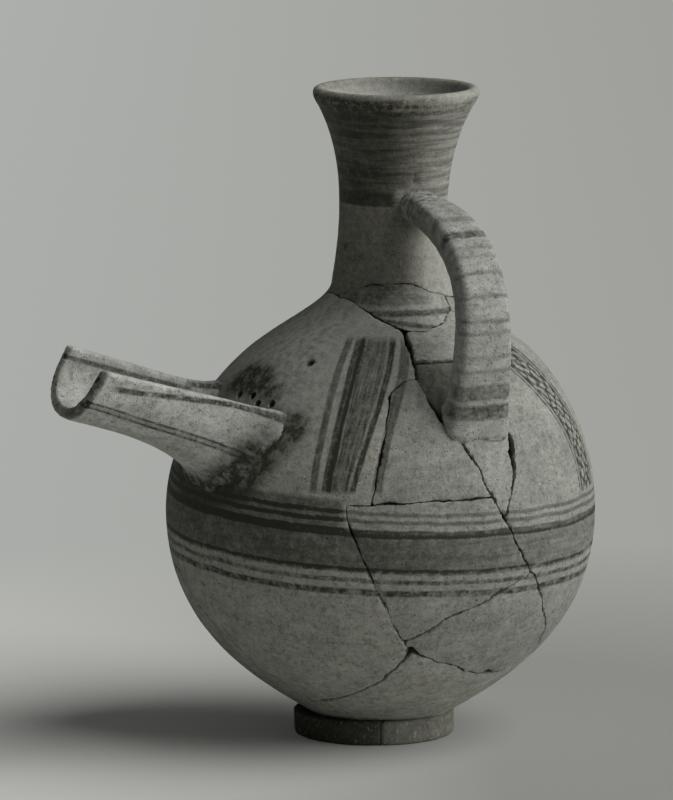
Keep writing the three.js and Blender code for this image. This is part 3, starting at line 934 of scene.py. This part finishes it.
def spout_paint(ground):
    """Long strokes under the rims and along the sides, and a dark lip."""
    drop = ground.attribute("drop") + ground.wobble * SPOUT_WOBBLE
    inner = ground.attribute("inner")
    along = ground.x.above(*SPOUT_NARROWS)
    brush = ground.grain(SPOUT_BRUSH, 3, SPOUT_STRETCH)
    climb = 1 - drop.math("MULTIPLY", drop, 1 / SPOUT_DEPTHS[1], clamped=True)
    end = ground.x - drop * math.sin(SPOUT_RISE) + climb * climb * SPOUT_CORNER_SET_BACK
    lip = end.above(SPOUT_REACH - SPOUT_LIP_LINE, 0.5) * 0.8
    edge_drop = drop - along * SPOUT_EDGE_FALL - SPOUT_EDGE_DROP
    edge_line = edge_drop.stripe(0, SPOUT_EDGE_WIDTH) * ground.x.below(SPOUT_EDGE_END, 2) * 0.95
    side_drop = drop + along * SPOUT_SIDE_CLIMB - SPOUT_SIDE_DROP
    side_line = side_drop.lines(SPOUT_SIDE_LINES) * ground.x.above(SPOUT_SIDE_START, 5)
    outer = (edge_line + side_line) * (1 - inner)
    inner_line = drop.stripe(*SPOUT_INNER_LINE) * inner * 0.85
    return (lip + outer + inner_line) * (0.6 + 0.75 * brush)


def root_soot(ground):
    """Soot over the lower side of the spout's root, with the whole root and the inside of the trough a
    little darker.
    """
    root = ground.attribute("root")
    soot = root * ground.attribute("drop").above(ROOT_SOOT_DROP, 6) * ragged(ground)
    return soot + ground.attribute("inner") * 0.14 + root * 0.2


SPOUT_VOXEL = 0.7
SPOUT_ROUNDS = 6
SPOUT_SMEAR = 6
SPOUT_SMEAR_DROPS = (-4, 5)
SPOUT_SMEAR_SPREAD = 13.0
SPOUT_ROOT = (-11, -2)
SOOT_REACH = (3, 9)
SMEAR_REACH = (1, 8)
SOOT_TOP = (113, 121)

spout = even_skin("trough_spout", SPOUT_VOXEL, SPOUT_ROUNDS)
spout_points = points_of(spout)
spout_drop, spout_inner = gutter_place(spout_points)
keep(spout, "drop", spout_drop)
keep(spout, "inner", spout_inner)
keep(spout, "root", ease(wheel_place(spout_points)[0], *SPOUT_ROOT))
spout_smear = SPOUT_SMEAR * (1 - spout_inner) * ease(spout_drop, *SPOUT_SMEAR_DROPS)
spout_points = luted(spout_points, spout, spout_smear, SPOUT_SMEAR_SPREAD, seed=14.0)
place_points(spout, spout_points)
spout_ware = clay_material("spout_ware", SPOUT_TONE, spout_paint, root_soot)
dress(spout, "trough_spout", spout_ware)

wall_points = points_of(spout_sherd)
spout_edge = spout_points[wheel_place(spout_points)[0] > SPOUT_ROOT[1]]
root_gap = nearest(wall_points, spout_edge)
above_soot = ease(wall_points[:, 2], *SOOT_TOP)
keep(spout_sherd, "soot", (1 - ease(root_gap, *SOOT_REACH)) * (1 - above_soot))
keep(spout_sherd, "smear", (1 - ease(root_gap, *SMEAR_REACH)) * above_soot)

# The strap handle
# A strap of clay pulled flat and bent from the neck down to the shoulder, luted at both ends and
# barred across its back with painted strokes.

HANDLE_AZIMUTH = math.radians(82)
HANDLE_CURVES = (
    ((0.0, 181.5), (43.8, 183.5), (66.8, 172.0), (66.8, 146.0)),
    ((66.8, 146.0), (66.8, 131.0), (61.8, 115.0), (56.3, 100.0)),
)
HANDLE_CURVE_STEPS = 120
HANDLE_TOP = 165.0
HANDLE_OFFSET = 3.9
HANDLE_HALF_WIDTHS = (5.75, 8.5, 11.0)
HANDLE_HALF_THICKNESS = 5.0
STRAP_SQUARENESS = 2.7
WORN_SQUARENESS = 5.0
SQUARING_LIMIT = 1.15
SQUARING_STARTS = (22, 38)


def strap_place(points):
    """Distance along the strap from the neck's axis, and height over the strap's middle."""
    path = np.vstack([bezier(corners, HANDLE_CURVE_STEPS) for corners in HANDLE_CURVES])
    steps = np.linalg.norm(np.diff(path, axis=0), axis=1)
    lengths = np.concatenate([[0], np.cumsum(steps)])
    spoke = np.array([math.cos(HANDLE_AZIMUTH), math.sin(HANDLE_AZIMUTH)])
    reach = points[:, :2] @ spoke
    gaps = np.hypot(reach[:, None] - path[None, :, 0], points[:, 2][:, None] - path[None, :, 1])
    closest = gaps.argmin(1)
    ahead = np.gradient(path, axis=0)[closest]
    over = (reach - path[closest, 0]) * -ahead[:, 1] + (points[:, 2] - path[closest, 1]) * ahead[:, 0]
    return lengths[closest], over / np.linalg.norm(ahead, axis=1)


def rounded_square(wide, high, squareness):
    return (wide ** squareness + high ** squareness) ** (1 / squareness)


def squared(piece, points, along, over):
    """Draws the strap's rounded section out into a squarer one, flat on its back and its sides."""
    spoke = np.array([math.cos(HANDLE_AZIMUTH), math.sin(HANDLE_AZIMUTH), 0])
    aside = np.array([spoke[1], -spoke[0], 0])
    across = points @ aside + HANDLE_OFFSET
    half = np.interp(along, np.linspace(0, along.max(), 3), HANDLE_HALF_WIDTHS)
    wide = np.abs(across / half)
    high = np.abs(over / HANDLE_HALF_THICKNESS)
    rounded = rounded_square(wide, high, STRAP_SQUARENESS)
    flat = rounded_square(wide, high, WORN_SQUARENESS)
    grow = np.clip(rounded / np.maximum(flat, TINY), 1, SQUARING_LIMIT) - 1
    grow = grow * ease(along, *SQUARING_STARTS)
    normals = normals_of(piece)
    upward = normals - aside * (normals @ aside)[:, None]
    return points + aside * (across * grow)[:, None] + upward * (np.abs(over) * grow)[:, None]


STRAP_TONE = (145, 146, 140)
STRAP_WOBBLE = 2.0
HANDLE_BARS = (
    (46.6, 3.2, 0.6), (54.3, 3.0, 1.0), (59.7, 1.4, 0.45), (63.1, 1.4, 0.35), (68.6, 1.2, 0.6),
    (75.4, 1.2, 0.6), (82.6, 1.3, 0.65), (86.5, 1.4, 0.5), (93.8, 1.1, 0.4), (104.0, 2.0, 0.7),
    (98.5, 1.4, 0.5), (106.5, 3.0, 0.8), (112.1, 5.0, 1.0),
)
BAR_SOFTNESS = 0.5
BAR_WEAR_SIZE = 3
SMUDGE_SIZE = 2.4
SMUDGE_END = 36
CROWN_END = 76
STRAP_BACK = (-0.5, 1.5)
STRAP_INSIDE = (1.0, 2.5)


def strap_paint(ground):
    """Bars across the strap's back, and a smudge near the neck."""
    along = ground.attribute("along") + ground.wobble * STRAP_WOBBLE
    bars = along.lines(HANDLE_BARS, BAR_SOFTNESS)
    back = ground.attribute("over").above(*STRAP_BACK)
    thin = 0.25 + 1.2 * ground.grain(BAR_WEAR_SIZE, 4)
    smudge = along.below(SMUDGE_END, 8) * ground.grain(SMUDGE_SIZE, 4).above(0.5, 0.1) * 0.8
    return bars * back * thin + smudge


def strap_grime_and_shade(ground):
    """Grime and painted shade on the strap's inner side, under its crown."""
    inside = ground.attribute("over").below(*STRAP_INSIDE)
    # Partly grime, partly painted shade on the side of the strap that the lamp leaves dim.
    return inside * ground.attribute("along").below(CROWN_END, 14) * 0.4


STRAP_VOXEL = 0.7
STRAP_ROUNDS = 6
STRAP_SMEARS = (1.0, 2.6)
STRAP_SMEAR_SPREAD = 9.0

strap = even_skin("strap_handle", STRAP_VOXEL, STRAP_ROUNDS)
strap_points = points_of(strap)
strap_along, strap_over = strap_place(strap_points)
keep(strap, "along", strap_along)
keep(strap, "over", strap_over)
strap_points = squared(strap, strap_points, strap_along, strap_over)
strap_smear = np.where(strap_points[:, 2] > HANDLE_TOP, *STRAP_SMEARS)
strap_points = luted(strap_points, strap, strap_smear, STRAP_SMEAR_SPREAD, seed=15.0)
place_points(strap, strap_points)
strap_ware = clay_material("strap_ware", STRAP_TONE, strap_paint, strap_grime_and_shade)
dress(strap, "strap_handle", strap_ware)

# The floor
# A plain pale floor that runs on far behind the jug. Near the jug it is painted paler on the left, over
# the jug's shadow, and darker on the right by the foot: painted light and painted shade. It shows its own
# tone to the camera and in reflections, with a faint glow that lightens its shadow, and throws a paler
# light back up at the jug.

FLOOR_HALF_SIZE = 30
FLOOR_NEAR_LEFT_LIT = (208, 208, 204)
FLOOR_NEAR_RIGHT_SHADED = (144, 144, 140)
FLOOR_FAR_LEFT = (184, 187, 183)
FLOOR_FAR_RIGHT = (167, 167, 163)
FLOOR_BOUNCE = (196, 197, 192)
FLOOR_RIGHT = (-0.82, 0.57)
FLOOR_NEAR_CHANGE = (-60, 100)
FLOOR_FAR_CHANGE = (0, 220)
FLOOR_NEAR_REACH = (260, 120)
FLOOR_ROUGHNESS = 0.95
FLOOR_LEVEL = 0.88
SHADOW_LIFT = 0.07

floor_shape = bmesh.new()
bmesh.ops.create_grid(floor_shape, x_segments=1, y_segments=1, size=FLOOR_HALF_SIZE)
floor_mesh = bpy.data.meshes.new("floor")
floor_shape.to_mesh(floor_mesh)
floor_shape.free()
floor = bpy.data.objects.new("floor", floor_mesh)
bpy.context.scene.collection.objects.link(floor)
floor_material = bpy.data.materials.new("floor_paper")
floor_material.use_nodes = True
paper = Ground(floor_material)
to_the_right = paper.x * FLOOR_RIGHT[0] + paper.y * FLOOR_RIGHT[1]
# Painted light and shade near the jug: paler to the left over its shadow, darker to the right by the
# foot.
near_light_and_shade = to_the_right.above(*FLOOR_NEAR_CHANGE).mix(tint(*FLOOR_NEAR_LEFT_LIT), tint(*FLOOR_NEAR_RIGHT_SHADED))
far_colour = to_the_right.above(*FLOOR_FAR_CHANGE).mix(tint(*FLOOR_FAR_LEFT), tint(*FLOOR_FAR_RIGHT))
paper_colour = paper.radius.above(*FLOOR_NEAR_REACH).mix(near_light_and_shade, far_colour)
seen = sum(
    paper.point.node("ShaderNodeLightPath", {}, output=ray)
    for ray in ("Is Camera Ray", "Is Glossy Ray", "Is Transmission Ray")
).clamped()
shown = seen.node("ShaderNodeVectorMath", {0: paper_colour, 3: 1 - SHADOW_LIFT}, operation="SCALE")
lit = seen.mix(tint(*FLOOR_BOUNCE), shown)
# Painted light: the floor glows a little for the camera, so its cast shadow reads lighter.
lift = seen * (SHADOW_LIFT * FLOOR_LEVEL)
glow = seen.node("ShaderNodeVectorMath", {0: paper_colour, 3: lift}, operation="SCALE")
floor_shader = floor_material.node_tree.nodes["Principled BSDF"]
floor_material.node_tree.links.new(lit.socket, floor_shader.inputs["Base Color"])
floor_material.node_tree.links.new(glow.socket, floor_shader.inputs["Emission Color"])
floor_shader.inputs["Emission Strength"].default_value = 1.0
floor_shader.inputs["Roughness"].default_value = FLOOR_ROUGHNESS
floor_mesh.materials.append(floor_material)

# The light and the camera
# One broad soft lamp from the right, a little fill from all round, and a long lens.

FILL_LIGHT = (176, 178, 175)
FILL_STRENGTH = 0.14
KEY_AZIMUTH = math.radians(134)
KEY_TILT = math.radians(51)
KEY_STRENGTH = 3.85
KEY_BREADTH = math.radians(62)
CAMERA_AZIMUTH = math.radians(55)
CAMERA_PITCH = math.radians(9.13)
CAMERA_DISTANCE = 2.779
CAMERA_ASIDE = -0.00068
CAMERA_HEIGHT = 0.5565
CAMERA_SIGHT = 100
IMAGE_HEIGHT = 800
IMAGE_SHIFT = (-41.9, 10.3)
FOCAL_PIXELS = 8357
SENSOR = 36.0

world = bpy.data.worlds.new("studio")
world.use_nodes = True
world.node_tree.nodes["Background"].inputs["Color"].default_value = tint(*FILL_LIGHT)
world.node_tree.nodes["Background"].inputs["Strength"].default_value = FILL_STRENGTH
bpy.context.scene.world = world

key_light = bpy.data.lights.new("key", "SUN")
key_light.energy = KEY_STRENGTH
key_light.angle = KEY_BREADTH
key = bpy.data.objects.new("key", key_light)
key.rotation_euler = Euler((KEY_TILT, 0, KEY_AZIMUTH + math.pi / 2))
bpy.context.scene.collection.objects.link(key)

lens = bpy.data.cameras.new("camera")
lens.sensor_width = SENSOR
lens.lens = SENSOR * FOCAL_PIXELS / IMAGE_HEIGHT
lens.shift_x = IMAGE_SHIFT[0] / IMAGE_HEIGHT
lens.shift_y = IMAGE_SHIFT[1] / IMAGE_HEIGHT
lens.clip_end = CAMERA_SIGHT
camera = bpy.data.objects.new("camera", lens)
toward = Vector((math.cos(CAMERA_AZIMUTH), math.sin(CAMERA_AZIMUTH), 0))
right = Vector((-math.sin(CAMERA_AZIMUTH), math.cos(CAMERA_AZIMUTH), 0))
camera.location = toward * CAMERA_DISTANCE + right * CAMERA_ASIDE + Vector((0, 0, CAMERA_HEIGHT))
camera.rotation_euler = Euler((math.pi / 2 - CAMERA_PITCH, 0, CAMERA_AZIMUTH + math.pi / 2))
bpy.context.scene.collection.objects.link(camera)
bpy.context.scene.camera = camera
bpy.context.scene.view_settings.view_transform = "Standard"
